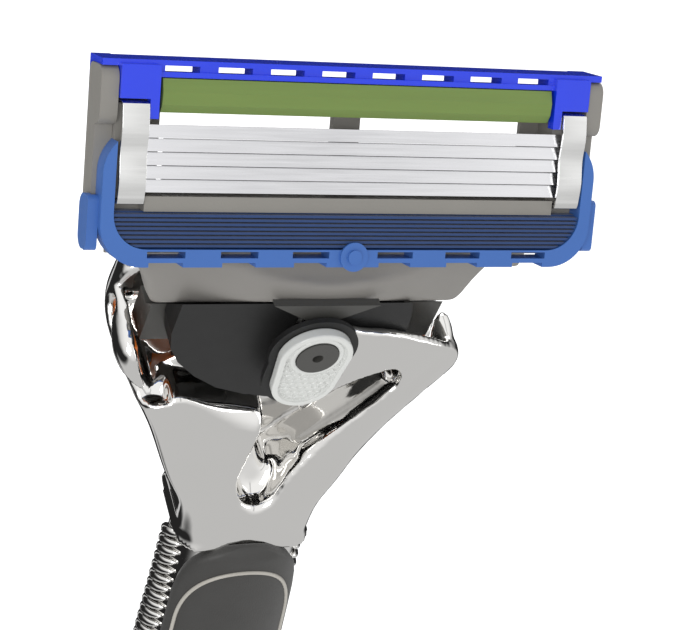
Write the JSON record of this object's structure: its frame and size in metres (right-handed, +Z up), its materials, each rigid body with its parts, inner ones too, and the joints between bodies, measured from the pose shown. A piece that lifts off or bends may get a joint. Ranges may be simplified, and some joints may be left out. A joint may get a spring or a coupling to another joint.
{
  "type": "cartridge razor",
  "caption": "Wet shaving razor with a sprung multi-blade cartridge on a pivoting yoke, a swivelling ball head, a chrome cage and a rubber-gripped handle.",
  "frame": {"origin": "Centre of the flat end face of the handle.", "axes": "+Z runs up the handle to the cartridge, -Y is the side that the blades face, +X is across the blades."},
  "size_m": [0.041, 0.0286, 0.1405],
  "materials": {
    "frame_grey": "moulded satin plastic, warm grey",
    "guard_blue": "moulded satin plastic, blue",
    "fin_rubber": "soft moulded elastomer fins, deep blue",
    "strip_green": "waxy lubricating polymer, olive green",
    "rail_blue": "glossy moulded plastic, bright blue",
    "clip_steel": "bright rolled aluminium, satin grain",
    "blade_steel": "ground stainless steel, fine grain along the edge",
    "yoke_grey": "moulded satin plastic, grey",
    "dark_grey": "moulded matte plastic, dark grey",
    "ball_black": "moulded matte plastic, black",
    "button_silver": "silver plastic with a honeycomb lower field",
    "white_acetal": "natural acetal",
    "spring_steel": "spring steel wire",
    "chrome": "bright chrome plating on cast zinc",
    "orange_liner": "moulded orange plastic",
    "grip_rubber": "soft matte elastomer, charcoal"
  },
  "bodies": {
    "handle": {"cage": "chrome", "swivel_pin": "spring_steel", "liner_left": "orange_liner", "liner_right": "orange_liner", "liner_cup": "orange_liner", "centering_spring": "spring_steel", "handle_core": "chrome", "grip_front": "grip_rubber", "grip_back": "grip_rubber", "ribs_left": "chrome", "ribs_right": "chrome", "tail_cap": "chrome"},
    "head": {"ball_core": "ball_black", "shoulder_left": "dark_grey", "shoulder_right": "dark_grey", "ejector_spring": "spring_steel"},
    "button": {"release_button": "button_silver", "button_base": "ball_black", "button_insert": "dark_grey", "ejector": "white_acetal"},
    "yoke_body": {"yoke": "yoke_grey", "yoke_tongue": "dark_grey", "pivot_pins": "spring_steel", "plunger_spring": "spring_steel"},
    "plunger_body": {"plunger": "white_acetal"},
    "cartridge": {"cartridge_frame": "frame_grey", "guard_frame": "guard_blue", "skin_guard": "fin_rubber", "lube_strip": "strip_green", "cap_rail": "rail_blue", "clip_left": "clip_steel", "clip_right": "clip_steel", "trimmer_guard": "guard_blue", "trimmer_blade": "blade_steel"},
    "blade_body_1": {"blade_1": "blade_steel"},
    "blade_body_2": {"blade_2": "blade_steel"},
    "blade_body_3": {"blade_3": "blade_steel"},
    "blade_body_4": {"blade_4": "blade_steel"},
    "blade_body_5": {"blade_5": "blade_steel"}
  },
  "joints": [
    {"name": "swivel", "type": "hinge", "parent": "handle", "child": "head", "pos_m": [0, 0, 0.1194], "axis": [0, 1, 0], "range_deg": [-12, 12], "stiffness_Nm_per_rad": 0.02},
    {"name": "button_slide", "type": "slide", "parent": "head", "child": "button", "axis": [0, 0, 1], "range_m": [0, 0.0015], "stiffness_N_per_m": 200, "deforming": ["ejector_spring"]},
    {"name": "cartridge_release", "type": "slide", "parent": "head", "child": "yoke_body", "axis": [0, 0, 1], "range_m": [0, 0.008]},
    {"name": "cartridge_pivot", "type": "hinge", "parent": "yoke_body", "child": "cartridge", "pos_m": [0, -0.00075, 0.12868], "axis": [-1, 0, 0], "range_deg": [0, 35], "stiffness_Nm_per_rad": 0.01},
    {"name": "plunger_slide", "type": "slide", "parent": "yoke_body", "child": "plunger_body", "axis": [0, 0, -1], "range_m": [0, 0.0023], "deforming": ["plunger_spring"]},
    {"name": "blade_float_1", "type": "slide", "parent": "cartridge", "child": "blade_body_1", "axis": [0, 0.7986, -0.6018], "range_m": [0, 0.0003], "stiffness_N_per_m": 25},
    {"name": "blade_float_2", "type": "slide", "parent": "cartridge", "child": "blade_body_2", "axis": [0, 0.7986, -0.6018], "range_m": [0, 0.0003], "stiffness_N_per_m": 25},
    {"name": "blade_float_3", "type": "slide", "parent": "cartridge", "child": "blade_body_3", "axis": [0, 0.7986, -0.6018], "range_m": [0, 0.0003], "stiffness_N_per_m": 25},
    {"name": "blade_float_4", "type": "slide", "parent": "cartridge", "child": "blade_body_4", "axis": [0, 0.7986, -0.6018], "range_m": [0, 0.0003], "stiffness_N_per_m": 25},
    {"name": "blade_float_5", "type": "slide", "parent": "cartridge", "child": "blade_body_5", "axis": [0, 0.7986, -0.6018], "range_m": [0, 0.0003], "stiffness_N_per_m": 25}
  ],
  "couplings": [
    {"joint": "plunger_slide", "follows": "cartridge_pivot", "m_per_rad": 0.0037}
  ]
}
